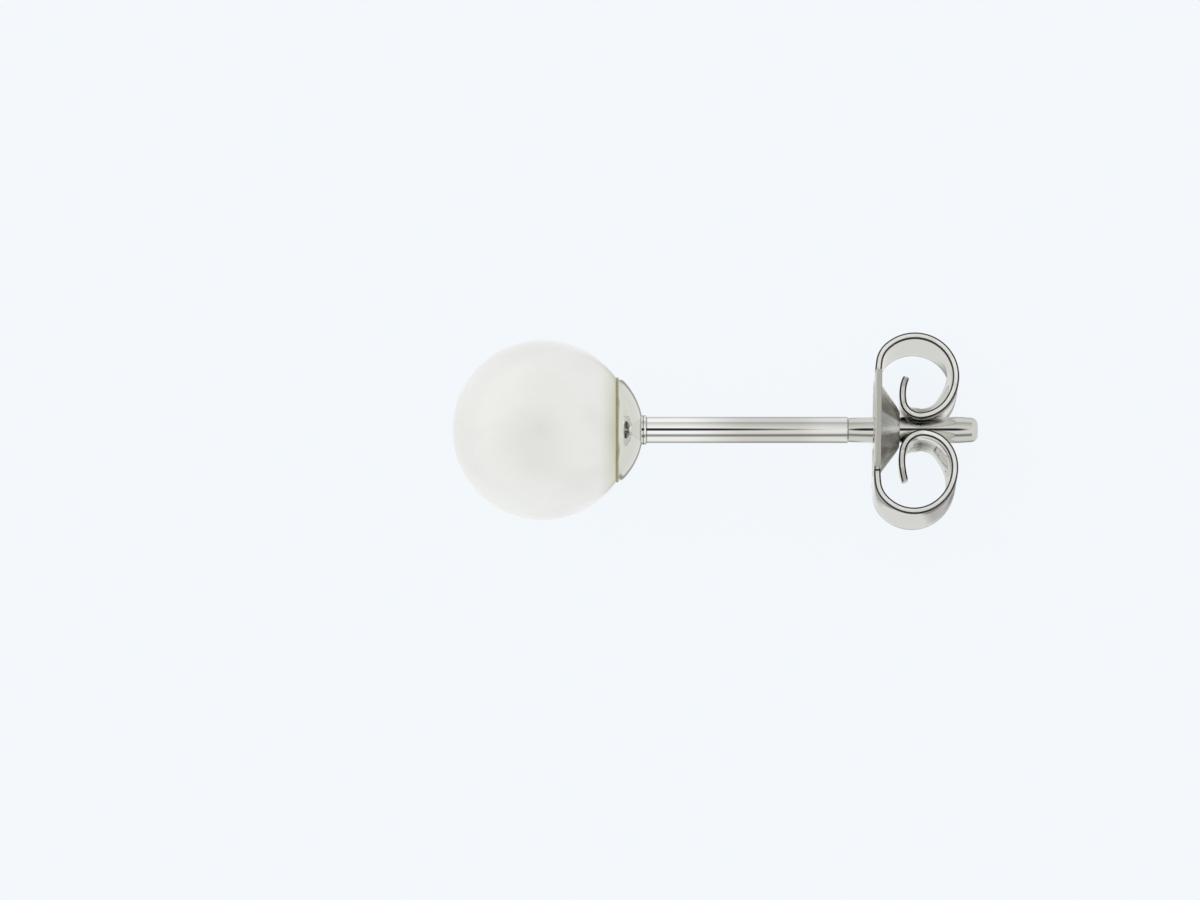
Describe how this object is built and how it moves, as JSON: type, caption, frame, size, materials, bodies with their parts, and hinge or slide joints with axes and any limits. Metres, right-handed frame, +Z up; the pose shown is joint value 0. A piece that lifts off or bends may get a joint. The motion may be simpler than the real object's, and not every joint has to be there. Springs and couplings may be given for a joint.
{
  "type": "pearl stud earring",
  "caption": "Stud earring lying on a table: a round pearl in a shallow cup on a straight notched post, with a butterfly clutch pushed on the post.",
  "frame": {"origin": "on the table, under the middle of the whole earring's box", "axes": "+X from the pearl towards the post's tip, +Y across to one scroll of the clutch, +Z up from the table; the post dips 2.56 degrees towards +X"},
  "size_m": [0.0174, 0.006, 0.006],
  "materials": {
    "pearl": "white pearl with a soft satin lustre",
    "setting_metal": "mirror-polished white metal",
    "clutch_metal": "polished white sheet metal, drawn edges a little duller"
  },
  "bodies": {
    "stud": {"pearl": "pearl", "cup_and_post": "setting_metal"},
    "clutch": {"butterfly_clutch": "clutch_metal"}
  },
  "joints": [
    {"name": "clutch_slide", "type": "slide", "parent": "stud", "child": "clutch", "axis": [0.999, 0, -0.0447], "range_m": [-0.0075, 0.0036]}
  ]
}
